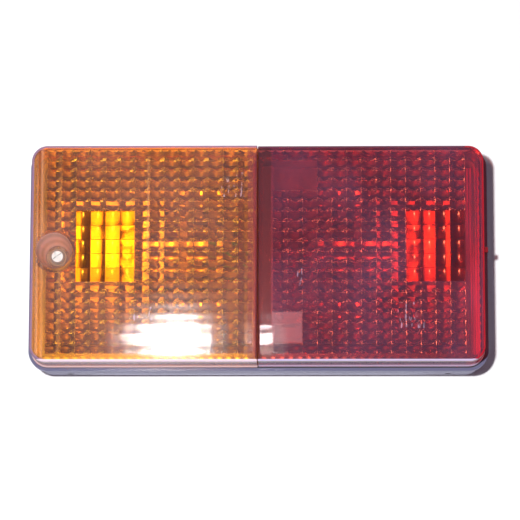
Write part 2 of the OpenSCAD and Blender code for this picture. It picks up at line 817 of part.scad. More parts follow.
// Lead from a socket's contact tail to the inner end of a terminal way, along one curve
module lead(start, end, bend_start, bend_end, tint) {
    a = start - [lead_stub, 0, 0];
    b = end + [0, way_stub, 0];
    color(tint) swept_tube(concat([start], curve([a, a + bend_start, b + bend_end, b]), [end]),
        lead_d, lead_sides);
}

amber_tail_x = amber_bulb_x + glass_reach - tail_z;
red_tail_x = red_bulb_x - glass_reach + tail_z;
way_y = block_y + block_w / 2 - 3;
cross_y = -7;
cross_z = 18;

module indicator_lead() {
    start = [amber_tail_x, bulb_y, bulb_z];
    end = [way_x[0], way_y, barrel_z];
    a = start + [lead_stub, 0, 0];
    b = end + [0, way_stub, 0];
    middle = [0, cross_y, cross_z];
    to_middle = curve([a, a + [9, 0, 0], middle - [9, 0, 0], middle]);
    to_end = curve([middle, middle + [6, 0, 0], b + [0, 5, 0], b]);
    path = concat([start], to_middle, [for (i = [1:lead_rings]) to_end[i]], [end]);
    color([0.15, 0.5, 0.2]) swept_tube(path, lead_d, lead_sides);
}

module stop_lead() {
    start = [red_tail_x, bulb_y - stop_contact_pitch / 2, bulb_z];
    lead(start, [way_x[1], way_y, barrel_z], [-12, 0, 0], [0, 7, 0], [0.6, 0.1, 0.1]);
}

module tail_lead() {
    start = [red_tail_x, bulb_y + stop_contact_pitch / 2, bulb_z];
    lead(start, [way_x[2], way_y, barrel_z], [-14, 0, -5], [0, 10, 0], [0.35, 0.2, 0.1]);
}

// Grommet with a groove round it that holds the edge of the cable entry
module cable_grommet() {
    lip = 1.6;
    wall_top = floor_t + 1.2 - eps;
    color([0.08, 0.08, 0.08]) translate([entry_x, entry_y, 0]) difference() {
        union() {
            translate([0, 0, 0.2]) cylinder(h = wall_top + 1.6, d = entry_d - slack);
            translate([0, 0, wall_top + slack / 2]) cylinder(h = lip, d = entry_d + 3.4);
        }
        translate([0, 0, -1]) cylinder(h = 20, d = cable_d);
    }
}

module lens_screw() {
    color([0.85, 0.85, 0.85]) translate([screw_x, screw_y, 0]) difference() {
        union() {
            translate([0, 0, head_z - head_h]) cylinder(h = head_h - 1, d = head_d);
            translate([0, 0, head_z - 1]) cylinder(h = 1, d1 = head_d, d2 = head_d - 1.6);
            translate([0, 0, pillar_z - insert_l - 1]) cylinder(h = head_z - head_h - pillar_z + insert_l + 1
                + eps, d = screw_d);
        }
        for (a = [35, 125]) rotate([0, 0, a]) translate([-head_d * 0.34, -0.4, head_z - 1.3])
            cube([head_d * 0.68, 0.8, 2]);
    }
}

module screw_washer() {
    color([0.12, 0.12, 0.12]) translate([screw_x, screw_y, recess_floor_z]) difference() {
        cylinder(h = washer_t, d = washer_d);
        translate([0, 0, -1]) cylinder(h = 3, d = screw_d + 0.3);
    }
}

module screw_insert() {
    color(brass) translate([screw_x, screw_y, pillar_z - insert_l]) difference() {
        cylinder(h = insert_l, d = insert_d);
        translate([0, 0, -1]) cylinder(h = insert_l + 2, d = screw_d + eps);
    }
}

base_housing();
amber_lens();
red_lens();
lens_seal();
light_partition();
bulb_carrier();
carrier_rivets();
indicator_socket();
stop_tail_socket();
indicator_insulator();
stop_tail_insulator();
socket_springs();
indicator_contact();
stop_tail_contacts();
indicator_bulb_cap();
stop_tail_bulb_cap();
bulb_cap_insulators();
indicator_bulb_glass();
stop_tail_bulb_glass();
indicator_filament();
stop_tail_filaments();
indicator_reflector();
stop_tail_reflector();
terminal_block();
terminal_barrels();
terminal_screws();
indicator_lead();
stop_lead();
tail_lead();
cable_grommet();
lens_screw();
screw_washer();
screw_insert();
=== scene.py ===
import json
import math

import bmesh
import bpy
from mathutils import Matrix, Vector


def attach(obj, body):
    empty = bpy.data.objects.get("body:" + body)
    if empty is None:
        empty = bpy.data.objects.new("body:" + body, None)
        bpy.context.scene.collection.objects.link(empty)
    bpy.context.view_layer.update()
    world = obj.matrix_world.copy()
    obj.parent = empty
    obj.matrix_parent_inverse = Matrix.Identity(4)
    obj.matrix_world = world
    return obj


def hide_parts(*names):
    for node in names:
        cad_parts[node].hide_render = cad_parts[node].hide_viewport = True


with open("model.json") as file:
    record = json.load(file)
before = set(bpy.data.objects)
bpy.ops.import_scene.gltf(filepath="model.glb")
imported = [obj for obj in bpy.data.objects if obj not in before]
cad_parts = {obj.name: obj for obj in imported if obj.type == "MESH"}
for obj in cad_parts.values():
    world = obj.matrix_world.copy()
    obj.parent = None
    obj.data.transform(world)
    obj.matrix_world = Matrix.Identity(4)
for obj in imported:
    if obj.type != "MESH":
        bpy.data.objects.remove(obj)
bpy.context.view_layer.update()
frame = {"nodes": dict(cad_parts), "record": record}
MM = 0.001

# Camera in metres and pixels: the photograph's view, a long lens a little below square to the faces
IMAGE_PX = 520
FOCAL_PX = 2730.8
SENSOR_MM = 36
CAMERA_DISTANCE = 1.2
NEAR_CLIP = 0.05
FAR_CLIP = 10
TILT_DOWN = math.radians(9.43)
TILT_RIGHT = math.radians(1.15)
ROLL = math.radians(-0.092)
FACE_CENTRE_PX = (257.46, 252.62)

# Which lens a function makes: the sign of its side of the joint
AMBER_SIDE = -1
RED_SIDE = 1

# Lens sizes in millimetres
FACE_Z = 45.0
FACE_T = 2.4
SKIRT_Z = 28.4
FOOT_H = 2.0
FOOT_OUT = 0.6
FOOT_ROUND = 0.3
CREASE_IN = 0.1
CREASE_H = 0.15
CREASE_END_H = 0.8
LENS_L = 200.0
LENS_W = 96.4
LENS_R = 7.0
LEAST_R = 0.4
WALL_T = 1.7
JOINT_GAP = 0.3
JOINT_R = 0.3
RED_INSET = 0.3
EDGE_R = 1.0
FLUTE_PITCH = 3.9
FLUTE_H = 0.7
CUT_PAST = 2
TRAY_H = 23.0

# Points on the lenses' rounded stretches
CORNER_STEPS = 12
JOINT_STEPS = 3
EDGE_STEPS = 6
INNER_CORNER_STEPS = 6
FLUTE_STEPS = 6
TURNED_STEPS = 64

# Pillow optics in millimetres
PILLOW_X = 6.5
PILLOW_Y = 4.53
ROWS = 20
FIELD_MIDDLE_Y = 0.9
FIELD_MARGIN = 0.3
FIELD_Y0 = FIELD_MIDDLE_Y - PILLOW_Y * ROWS / 2
AMBER_FIELD_X0 = -LENS_L / 2 + FIELD_MARGIN + PILLOW_X
RED_FIELD_X0 = 6.8
AMBER_COLUMNS = 14
RED_COLUMNS = 13
AMBER_WINDOW_COLUMN = 2
RED_WINDOW_COLUMN = 9
WINDOW_ROW0 = 7
WINDOW_ROWS = 7
WINDOW_COLUMNS = 4
COARSE_ROWS = 5
PILLOW_STEPS_X = 8
PILLOW_STEPS_Y = 6
RISE_X = 1.6
RISE_Y = 1.1
COARSE_RISE_X = 0.9
COARSE_RISE_Y = 0.3
PILLOW_POWER = 1.5
COARSE_POWER = 2.0
GROOVE_W = 0.24
GROOVE_START = 0.985
PRESS_REACH = 0.1
BLOCK_T = 0.6
PAD_T = 0.3
PAD_MARGIN = 0.01
RED_LOWER_PAD = (6, -40, 20, -26)
RED_UPPER_PAD = (6, 26, 26, 40)

# Screw recess in the amber lens, in millimetres
SCREW = (-89.6, 1.1)
SCREW_HOLE_R = 2.05
RECESS_FLOOR_Z = 25.8
RECESS_FLOOR_D = 10.0
RECESS_MOUTH_D = 16.0
RECESS_WALL = 1.8
RECESS_FLARE = 0.6
RECESS_PAST = 0.5
PILLAR_Z = 23.4

# Ledge of the red lens under the amber one, and the red lens's gate mark, in millimetres
LEDGE_W = 84.0
LEDGE_REACH = 3.0
LEDGE_T = 1.8
LEDGE_SLACK = 0.2
GATE_MARK = ((98.7, 0.5, 40.8), (101.3, 2.7, 42.6))

# Merged copies of CAD nodes
MERGE_DISTANCE = 0.002
FLAT_ANGLE = 0.3
BEVEL_ANGLE = 40
BEVEL_STEPS = 2
BASE_EDGE_R = 0.3
LENS_SHARP_ANGLE = 38
COPY_SHARP_ANGLE = 30
LEVEL = 0.9999

# Lens finish: roughness, depths and places in millimetres, shares of film (dust with a painted veil,
# painted sheen, painted highlight, painted shade), tints, and the red end's painted glow
POLISHED = 0.07
MOULDED = 0.17
SINK_DEPTH = 0.002
WAVE_DEPTH = 0.005
FACE_SKIN = 0.2
UNDER_FACE = 1.2
SIDE_SKIN = 1.1
FOOT_SLACK = 0.2
LIT_REACH = 1.2
FACE_DUST_AND_VEIL = 0.06
SIDE_SHEEN = 0.22
RIM_SHEEN = 0.8
EDGE_HIGHLIGHT = 0.75
FOOT_HIGHLIGHT = 0.48
JOINT_SHADE_X = (-4.3, 5.9)
JOINT_SHADE = 0.17
SIDE_TINT = 0.5
SIDE_SHADE = 0.4
MARK_LEVEL = 0.02
AMBER_TINT = (0.9, 0.41, 0.012)
RED_TINT = (0.62, 0.085, 0.04)
RED_END_GLOW = (0.9, 0.03, 0.06)
RED_END_SIDE_GLOW = 0.6
AMBER_END = (-98.7, -81)
RED_END = (91.5, 110)

# Marks and painted light on the lenses in millimetres: areas as low x, low y, high x and high y, light
# stripes as x and half width. The scuffs are real scratches; the end strips carry painted light streaks,
# the pad a painted reflection.
AMBER_END_STRIP = (-99, -47, -94.3, 47)
AMBER_LOW_SCUFF = (-56, -33, -45, -24)
AMBER_HIGH_SCUFF = (-16, 25, -6, 36)
END_LIGHT_STRIPE = (-94.6, 1.9)
RECESS_LIGHT_STRIPE = (-87.4, 1.5)
WINDOW_LIGHT_STRIPE = (-48.3, 0.9)
STRIPE_REACH = 44
RED_END_STRIP = (91.6, -45, 98.2, 38)
RED_RIGHT_SCUFF = (61.5, -33.5, 73, -22)
RED_LEFT_SCUFF = (16.5, -15.5, 21, -5.5)
PAD_REFLECTION_AREA = (6.3, -39.8, 19.6, -26.2)
LEDGE_END_X = -0.4
LEDGE_TOP = 0.5
RECESS_RING = 1.3
RECESS_FLOOR_CLEAR = 0.4

# Shares of film on the marks: real scratches, painted light stripes and streaks, painted reflection on the
# pad, painted shade on the ledge
SCRATCH_HAZE = 0.3
STRIPE_LIGHT = 0.13
STRIPE_FACE_LIGHT = 0.04
AMBER_STRIP_LIGHT = 0.13
RED_STRIP_GLOW = 0.6
PAD_REFLECTION = 0.052
LEDGE_SHADE = 0.6

# Base finish: inner roughness, and film shares on the outer sides, dust with painted reflection on the tray
# and painted shade on the flange
BASE_SKIN = -0.2
INNER_ROUGHNESS = 0.18
TRAY_DUST_AND_REFLECTION = 0.42
FLANGE_SHADE = 0.6

# Where the reflectors' polish ends and their painted shade begins, in millimetres
AMBER_PAINTED_SHADE_X = -55.0
RED_PAINTED_SHADE_X = 65.0

# Paper and lights in metres and watts: radiance comes from power and size
PAPER_HALF = 2.0
PAPER_DROP = 0.0003
FLASH_DISTANCE = 1.25
FLASH_SIZE = 0.04
FLASH_POWER = 18
FLASH_LEFT = math.radians(6.3)
FLASH_UP = math.radians(4.6)
ROOM_COLOUR = (1, 0.6, 0.8)
ROOM_STRENGTH = 0.1

# Small lamps mirrored in the faces: their distance in metres, and the pixels at which they show
GLARE_DISTANCE = 0.6
GLARE_LEFT_PX = (158, 338)
GLARE_MIDDLE_PX = (180, 336)
GLARE_LOW_PX = (168, 345)
GLARE_RIGHT_PX = (199, 340)
GLARE_FRINGE_PX = (176, 337)
GLARE_VEIL_PX = (165, 325)
GLINT_NEAR_PX = (136, 338)
GLINT_FAR_PX = (123, 340)
GLINT_RED_PX = (264, 337)

# CAD nodes shown by a smooth merged copy
SMOOTHED_NODES = ("indicator_reflector", "stop_tail_reflector", "indicator_bulb_glass",
                  "stop_tail_bulb_glass", "indicator_socket", "stop_tail_socket",
                  "indicator_bulb_cap", "stop_tail_bulb_cap")


def camera_axes():
    """World directions of the camera's right, up and back axes."""
    back = Vector((math.tan(TILT_RIGHT), -math.tan(TILT_DOWN), 1)).normalized()
    level = (Vector((1, 0, 0)) - back * back.x).normalized()
    upright = back.cross(level)
    right = level * math.cos(ROLL) + upright * math.sin(ROLL)
    up = upright * math.cos(ROLL) - level * math.sin(ROLL)
    return right, up, back


def pixel_ray(px, py):
    """World direction seen at a pixel of the photograph."""
    right, up, back = camera_axes()
    off_x = (px - IMAGE_PX / 2) / FOCAL_PX
    off_y = (py - IMAGE_PX / 2) / FOCAL_PX
    return (right * off_x - up * off_y - back).normalized()


def camera_place():
    """Place from which the middle of the faces shows at its pixel."""
    return Vector((0, 0, FACE_Z * MM)) - pixel_ray(*FACE_CENTRE_PX) * CAMERA_DISTANCE


def add_camera():
    right, up, back = camera_axes()
    data = bpy.data.cameras.new("photo_camera")
    data.sensor_width = SENSOR_MM
    data.lens = FOCAL_PX / IMAGE_PX * SENSOR_MM
    data.clip_start = NEAR_CLIP
    data.clip_end = FAR_CLIP
    camera = bpy.data.objects.new("photo_camera", data)
    place = Matrix((right, up, back)).transposed().to_4x4()
    place.translation = camera_place()
    camera.matrix_world = place
    bpy.context.scene.collection.objects.link(camera)
    bpy.context.scene.camera = camera


def link_mesh(name, bm):
    """New object in the scene with the mesh of bm."""
    mesh = bpy.data.meshes.new(name)
    bm.to_mesh(mesh)
    bm.free()
    piece = bpy.data.objects.new(name, mesh)
    bpy.context.scene.collection.objects.link(piece)
    return piece


def corner_arc(cx, cy, r, start, steps):
    """Points of a quarter circle about cx, cy, from start degrees on."""
    points = []
    for i in range(steps + 1):
        turn = math.radians(start + 90 * i / steps)
        points.append((cx + r * math.cos(turn), cy + r * math.sin(turn)))
    return points


def on_side(points, side):
    """Outline as it is for the red lens, and mirrored for the amber one."""
    if side > 0:
        return points
    return [(-x, y) for x, y in reversed(points)]


def own_inset(side):
    """How much narrower a lens is than the amber one, at each side."""
    return 0.0 if side < 0 else RED_INSET


def half_outline(inset, side):
    """Outline of one lens drawn in by inset, counter-clockwise."""
    half_l = LENS_L / 2 - own_inset(side) - inset
    half_w = LENS_W / 2 - own_inset(side) - inset
    near = JOINT_GAP / 2 + max(inset, 0.0)
    r = max(LENS_R - own_inset(side) - inset, LEAST_R)
    points = []
    points += corner_arc(half_l - r, -half_w + r, r, -90, CORNER_STEPS)
    points += corner_arc(half_l - r, half_w - r, r, 0, CORNER_STEPS)
    points += corner_arc(near + JOINT_R, half_w - JOINT_R, JOINT_R, 90, JOINT_STEPS)
    points += corner_arc(near + JOINT_R, -half_w + JOINT_R, JOINT_R, 180, JOINT_STEPS)
    return on_side(points, side)


def loft(rings):
    """Closed mesh through rings of equal length, given from the lowest up, with a flat cap at each end."""
    bm = bmesh.new()
    rows = [[bm.verts.new((x * MM, y * MM, z * MM)) for x, y in points] for points, z in rings]
    count = len(rows[0])
    for low, high in zip(rows, rows[1:]):
        for i in range(count):
            j = (i + 1) % count
            bm.faces.new((low[i], low[j], high[j], high[i]))
    bm.faces.new(list(reversed(rows[0])))
    bm.faces.new(rows[-1])
    bmesh.ops.recalc_face_normals(bm, faces=bm.faces)
    return bm


def outer_rings(side):
    """Foot, skirt and rounded face edge of one lens."""
    foot_top = SKIRT_Z + FOOT_H
    profile = [(FOOT_ROUND - FOOT_OUT, SKIRT_Z), (-FOOT_OUT, SKIRT_Z + FOOT_ROUND),
               (-FOOT_OUT, foot_top - FOOT_ROUND), (FOOT_ROUND - FOOT_OUT, foot_top),
               (CREASE_IN, foot_top + CREASE_H), (0.0, foot_top + CREASE_END_H)]
    for i in range(EDGE_STEPS + 1):
        turn = math.radians(90 * i / EDGE_STEPS)
        profile.append((EDGE_R * (1 - math.cos(turn)), FACE_Z - EDGE_R + EDGE_R * math.sin(turn)))
    return [(half_outline(inset, side), z) for inset, z in profile]


def flute(along):
    """Depth of the skirt's inner flutes at a distance along the wall: round ribs with sharp valleys."""
    return FLUTE_H * abs(math.sin(math.pi * along / FLUTE_PITCH))


def inner_outline(side):
    """Outline of the lens's cavity, fluted on its three outer sides."""
    half_l = LENS_L / 2 - own_inset(side) - WALL_T
    half_w = LENS_W / 2 - own_inset(side) - WALL_T
    near = JOINT_GAP / 2 + WALL_T
    r = LENS_R - WALL_T
    step = FLUTE_PITCH / FLUTE_STEPS
    x_count = int((half_l - r - near) / step)
    y_count = int(2 * (half_w - r) / step)
    xs = [near + (half_l - r - near) * i / x_count for i in range(x_count + 1)]
    ys = [(half_w - r) * (2 * i / y_count - 1) for i in range(y_count + 1)]
    points = [(x, -half_w + flute(x)) for x in xs]
    points += corner_arc(half_l - r, -half_w + r, r, -90, INNER_CORNER_STEPS)[1:-1]
    points += [(half_l - flute(y), y) for y in ys]
    points += corner_arc(half_l - r, half_w - r, r, 0, INNER_CORNER_STEPS)[1:-1]
    points += [(x, half_w - flute(x)) for x in reversed(xs)]
    return on_side(points, side)


def smooth_pads(side):
    """Corners of the pads that stay free of pillows; the amber side shows none."""
    if side < 0:
        return []
    return [RED_LOWER_PAD, RED_UPPER_PAD]


class Field:
    """Pillow field of one lens: its columns, its window and its smooth pads."""

    def __init__(self, side):
        self.x0 = AMBER_FIELD_X0 if side < 0 else RED_FIELD_X0
        self.columns = AMBER_COLUMNS if side < 0 else RED_COLUMNS
        window_column = AMBER_WINDOW_COLUMN if side < 0 else RED_WINDOW_COLUMN
        self.wx0 = self.x0 + window_column * PILLOW_X
        self.wx1 = self.wx0 + WINDOW_COLUMNS * PILLOW_X
        self.wy0 = FIELD_Y0 + WINDOW_ROW0 * PILLOW_Y
        self.wy1 = self.wy0 + WINDOW_ROWS * PILLOW_Y
        self.coarse_pitch = (self.wy1 - self.wy0) / COARSE_ROWS
        self.pads = smooth_pads(side)

    def pad_boxes(self):
        """Each pad grown to whole pillows, as low x, low y, high x, high y."""
        out = []
        for x0, y0, x1, y1 in self.pads:
            columns = [k for k in range(self.columns) if x0 < self.x0 + (k + 0.5) * PILLOW_X < x1]
            rows = [k for k in range(ROWS) if y0 < FIELD_Y0 + (k + 0.5) * PILLOW_Y < y1]
            out.append((self.x0 + columns[0] * PILLOW_X - PAD_MARGIN,
                        FIELD_Y0 + rows[0] * PILLOW_Y - PAD_MARGIN,
                        self.x0 + (columns[-1] + 1) * PILLOW_X + PAD_MARGIN,
                        FIELD_Y0 + (rows[-1] + 1) * PILLOW_Y + PAD_MARGIN))
        return out


def cell_stations(edges, steps):
    """Stations across the cells: each edge, the two sides of its fine groove, and the steps between."""
    out = []
    for a, b in zip(edges, edges[1:]):
        start = a + GROOVE_W / 2
        end = b - GROOVE_W / 2
        out += [a] + [start + (end - start) * i / steps for i in range(steps + 1)]
    return out + [edges[-1]]


def cavity_block(side):
    """Closed block of the lens's cavity, from below the skirt to the flat underside of the face."""
    outline = inner_outline(side)
    return loft([(outline, SKIRT_Z - CUT_PAST), (outline, SKIRT_Z + 1), (outline, FACE_Z - FACE_T)])


def pillow_block(field):
    """Flat block of lens material under the face, with the stations that its pillows need."""
    x_edges = [field.x0 + k * PILLOW_X for k in range(field.columns + 1)]
    y_fine = [FIELD_Y0 + k * PILLOW_Y for k in range(ROWS + 1)]
    y_coarse = [field.wy0 + k * field.coarse_pitch for k in range(1, COARSE_ROWS)]
    xs = cell_stations(x_edges, PILLOW_STEPS_X)
    ys = cell_stations(sorted(y_fine + y_coarse), PILLOW_STEPS_Y)
    last_x = len(xs) - 1
    last_y = len(ys) - 1
    low_z = (FACE_Z - FACE_T) * MM
    top_z = (FACE_Z - FACE_T + BLOCK_T) * MM
    bm = bmesh.new()
    low = [[bm.verts.new((x * MM, y * MM, low_z)) for x in xs] for y in ys]
    for j in range(last_y):
        for i in range(last_x):
            bm.faces.new((low[j][i], low[j + 1][i], low[j + 1][i + 1], low[j][i + 1]))
    under = [low[0][i] for i in range(last_x + 1)]
    under += [low[j][last_x] for j in range(1, last_y + 1)]
    under += [low[last_y][i] for i in range(last_x - 1, -1, -1)]
    under += [low[j][0] for j in range(last_y - 1, 0, -1)]
    over = [bm.verts.new((vertex.co.x, vertex.co.y, top_z)) for vertex in under]
    for k in range(len(under)):
        n = (k + 1) % len(under)
        bm.faces.new((under[k], under[n], over[n], over[k]))
    bm.faces.new(over)
    bmesh.ops.recalc_face_normals(bm, faces=bm.faces)
    return bm


def geometry_tree(name, sizes):
    """Geometry tree with a named input for each size; returns the tree and the inputs' sockets."""
    tree = bpy.data.node_groups.new(name, "GeometryNodeTree")
    tree.interface.new_socket("Geometry", in_out="OUTPUT", socket_type="NodeSocketGeometry")
    tree.interface.new_socket("Geometry", in_out="INPUT", socket_type="NodeSocketGeometry")
    tree.interface.new_socket("Finish", in_out="INPUT", socket_type="NodeSocketMaterial")
    for size in sizes:
        tree.interface.new_socket(size, in_out="INPUT", socket_type="NodeSocketFloat")
    return tree, tree.nodes.new("NodeGroupInput").outputs


def end_tree(tree, shape, finish):
    """Realizes the instances, sets the finish and leaves the tree."""
    real = tree.nodes.new("GeometryNodeRealizeInstances")
    dressed = tree.nodes.new("GeometryNodeSetMaterial")
    tree.links.new(shape, real.inputs["Geometry"])
    tree.links.new(real.outputs["Geometry"], dressed.inputs["Geometry"])
    tree.links.new(finish, dressed.inputs["Material"])
    tree.links.new(dressed.outputs["Geometry"], tree.nodes.new("NodeGroupOutput").inputs["Geometry"])


def run_tree(piece, tree, values):
    """Gives piece the tree's shape, with the values set by their sockets' identifiers."""
    modifier = piece.modifiers.new(tree.name, "NODES")
    modifier.node_group = tree
    for socket in tree.interface.items_tree:
        if socket.in_out == "INPUT" and socket.name in values:
            modifier[socket.identifier] = values[socket.name]
    apply_modifiers(piece)


def math_node(tree, operation, *values):
    """Math node fed by sockets or plain numbers; returns its output."""
    node = tree.nodes.new("ShaderNodeMath")
    node.operation = operation
    for socket, value in zip(node.inputs, values):
        if isinstance(value, (int, float)):
            socket.default_value = value
        else:
            tree.links.new(value, socket)
    return node.outputs[0]


def times(tree, first, second):
    return math_node(tree, "MULTIPLY", first, second)


def larger(tree, first, second):
    return math_node(tree, "MAXIMUM", first, second)


def scaled(tree, value, slope, start):
    """The value times slope, plus start."""
    return math_node(tree, "MULTIPLY_ADD", value, slope, start)


def above(tree, value, limit):
    """1 where value is above limit millimetres, else 0."""
    return math_node(tree, "GREATER_THAN", value, limit * MM)


def below(tree, value, limit):
    """1 where value is below limit millimetres, else 0."""
    return math_node(tree, "LESS_THAN", value, limit * MM)


def band(tree, value, low, high):
    """1 where value lies between low and high millimetres, else 0."""
    return times(tree, above(tree, value, low), below(tree, value, high))


def area(tree, place, x0, y0, x1, y1):
    """1 over a rectangle given in millimetres, else 0."""
    across = band(tree, place.outputs["X"], x0, x1)
    return times(tree, across, band(tree, place.outputs["Y"], y0, y1))


def window_area(tree, place, field):
    """1 over the coarse window before the bulb, else 0."""
    return area(tree, place, field.wx0, field.wy0, field.wx1, field.wy1)


def between(tree, share, first, second):
    """Number that goes from first to second with the share."""
    return scaled(tree, share, math_node(tree, "SUBTRACT", second, first), first)


def off_centre(tree, place, start, pitch):
    """Distance from the middle of the nearest pillow, 1 at its edge."""
    steps = math_node(tree, "DIVIDE", math_node(tree, "SUBTRACT", place, start), pitch)
    return math_node(tree, "ABSOLUTE", scaled(tree, math_node(tree, "FRACT", steps), 2.0, -1.0))


def crown(tree, off, power, rise):
    """Rise of a pillow at a distance from its middle."""
    fall = math_node(tree, "POWER", off, power)
    return times(tree, math_node(tree, "SUBTRACT", 1.0, fall), rise)


def pillow_sizes(field):
    """Named sizes of the pillow tree, in metres."""
    return {
        "Start X": field.x0 * MM,
        "Pitch X": PILLOW_X * MM,
        "Rise X": RISE_X * MM,
        "Window rise X": COARSE_RISE_X * MM,
        "Start Y": FIELD_Y0 * MM,
        "Pitch Y": PILLOW_Y * MM,
        "Rise Y": RISE_Y * MM,
        "Window rise Y": COARSE_RISE_Y * MM,
        "Window start Y": field.wy0 * MM,
        "Window pitch Y": field.coarse_pitch * MM,
        "Power": PILLOW_POWER,
        "Window power": COARSE_POWER,
        "Pad depth": PAD_T * MM,
    }


def pillow_tree(field, sizes):
    """Geometry tree that presses the lower face of a block into rows of pillows."""
    tree, inputs = geometry_tree("pillows_" + str(field.columns), sizes)
    position = tree.nodes.new("GeometryNodeInputPosition")
    place = tree.nodes.new("ShaderNodeSeparateXYZ")
    tree.links.new(position.outputs[0], place.inputs[0])
    window = window_area(tree, place, field)
    start_y = between(tree, window, inputs["Start Y"], inputs["Window start Y"])
    pitch_y = between(tree, window, inputs["Pitch Y"], inputs["Window pitch Y"])
    power = between(tree, window, inputs["Power"], inputs["Window power"])
    off_x = off_centre(tree, place.outputs["X"], inputs["Start X"], inputs["Pitch X"])
    off_y = off_centre(tree, place.outputs["Y"], start_y, pitch_y)
    rise_x = between(tree, window, inputs["Rise X"], inputs["Window rise X"])
    rise_y = between(tree, window, inputs["Rise Y"], inputs["Window rise Y"])
    dome = math_node(tree, "ADD", crown(tree, off_x, power, rise_x), crown(tree, off_y, power, rise_y))
    clear_of_groove = math_node(tree, "LESS_THAN", larger(tree, off_x, off_y), GROOVE_START)
    depth = times(tree, math_node(tree, "ADD", dome, inputs["Pad depth"]), clear_of_groove)
    for corners in field.pad_boxes():
        depth = between(tree, area(tree, place, *corners), depth, inputs["Pad depth"])
    offset = tree.nodes.new("ShaderNodeCombineXYZ")
    tree.links.new(times(tree, depth, -1.0), offset.inputs["Z"])
    lower_face = below(tree, place.outputs["Z"], FACE_Z - FACE_T + PRESS_REACH)
    press = tree.nodes.new("GeometryNodeSetPosition")
    tree.links.new(inputs["Geometry"], press.inputs["Geometry"])
    tree.links.new(lower_face, press.inputs["Selection"])
    tree.links.new(offset.outputs[0], press.inputs["Offset"])
    end_tree(tree, press.outputs["Geometry"], inputs["Finish"])
    return tree


def box(low, high):
    """Block between two corners given in millimetres."""
    bm = bmesh.new()
    bmesh.ops.create_cube(bm, size=1)
    for vertex in bm.verts:
        vertex.co = Vector([(a + (b - a) * (c + 0.5)) * MM for a, b, c in zip(low, high, vertex.co)])
    return bm


def turned(profile, centre):
    """Closed solid turned about a vertical axis at centre; profile is a list of radius and height."""
    turns = [2 * math.pi * i / TURNED_STEPS for i in range(TURNED_STEPS)]
    return loft([([(centre[0] + r * math.cos(turn), centre[1] + r * math.sin(turn)) for turn in turns], z)
                 for r, z in profile])


def boolean(piece, tool, operation):
    """Joins or cuts piece with tool, and removes the tool."""
    modifier = piece.modifiers.new("solid", "BOOLEAN")
    modifier.operation = operation
    modifier.object = tool
    modifier.solver = "MANIFOLD"
    apply_modifiers(piece)
    bpy.data.objects.remove(tool)


def join(piece, bm):
    boolean(piece, link_mesh("add", bm), "UNION")


def cut(piece, bm):
    boolean(piece, link_mesh("cut", bm), "DIFFERENCE")


def apply_modifiers(piece):
    """Turns piece with its modifiers into a plain mesh."""
    evaluated = piece.evaluated_get(bpy.context.evaluated_depsgraph_get())
    mesh = bpy.data.meshes.new_from_object(evaluated)
    piece.modifiers.clear()
    piece.data = mesh


def smooth_by_angle(piece, degrees):
    """Smooth shading, with level faces flat and edges sharp where faces meet at more than the angle."""
    mesh = piece.data
    bm = bmesh.new()
    bm.from_mesh(mesh)
    for face in bm.faces:
        face.smooth = abs(face.normal.z) < LEVEL
    for edge in bm.edges:
        if len(edge.link_faces) == 2:
            edge.smooth = edge.calc_face_angle(0) < math.radians(degrees)
    bm.to_mesh(mesh)
    bm.free()


def settle(piece, node, finish):
    """Lets a new piece stand for a CAD node, in its finish."""
    piece.data.materials.clear()
    piece.data.materials.append(finish)
    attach(piece, "root")
    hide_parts(node)


def lens_body(side, name, finish):
    """Shell of one lens with its pillows, open below."""
    lens = link_mesh(name, loft(outer_rings(side)))
    cut(lens, cavity_block(side))
    field = Field(side)
    pillows = link_mesh("pillows", pillow_block(field))
    sizes = pillow_sizes(field)
    run_tree(pillows, pillow_tree(field, sizes), {**sizes, "Finish": finish})
    boolean(lens, pillows, "UNION")
    return lens


def make_screw_recess(lens):
    """Tapered pillar about the lens screw, hollowed from the face down, with the screw's hole."""
    pillar = [(RECESS_FLOOR_D / 2 + RECESS_WALL, PILLAR_Z),
              (RECESS_MOUTH_D / 2 + RECESS_WALL, FACE_Z - 1)]
    hollow = [(RECESS_FLOOR_D / 2, RECESS_FLOOR_Z), (RECESS_MOUTH_D / 2, FACE_Z),
              (RECESS_MOUTH_D / 2 + RECESS_FLARE, FACE_Z + RECESS_PAST)]
    hole = [(SCREW_HOLE_R, PILLAR_Z - 1), (SCREW_HOLE_R, FACE_Z)]
    join(lens, turned(pillar, SCREW))
    cut(lens, turned(hollow, SCREW))
    cut(lens, turned(hole, SCREW))


def build_amber_lens(finish):
    """Amber lens, its wall slotted for the red lens's ledge."""
    lens = lens_body(AMBER_SIDE, "amber_lens_moulding", finish)
    make_screw_recess(lens)
    slot_low = (-LEDGE_REACH - LEDGE_SLACK, -LEDGE_W / 2 - LEDGE_SLACK, SKIRT_Z - 1)
    slot_high = (1, LEDGE_W / 2 + LEDGE_SLACK, SKIRT_Z + LEDGE_T + LEDGE_SLACK)
    cut(lens, box(slot_low, slot_high))
    smooth_by_angle(lens, LENS_SHARP_ANGLE)
    settle(lens, "amber_lens", finish)


def build_red_lens(finish):
    """Red lens with its ledge and its gate mark."""
    lens = lens_body(RED_SIDE, "red_lens_moulding", finish)
    ledge_low = (-LEDGE_REACH, -LEDGE_W / 2, SKIRT_Z)
    ledge_high = (JOINT_GAP / 2 + WALL_T / 2, LEDGE_W / 2, SKIRT_Z + LEDGE_T)
    join(lens, box(ledge_low, ledge_high))
    join(lens, box(*GATE_MARK))
    smooth_by_angle(lens, LENS_SHARP_ANGLE)
    settle(lens, "red_lens", finish)


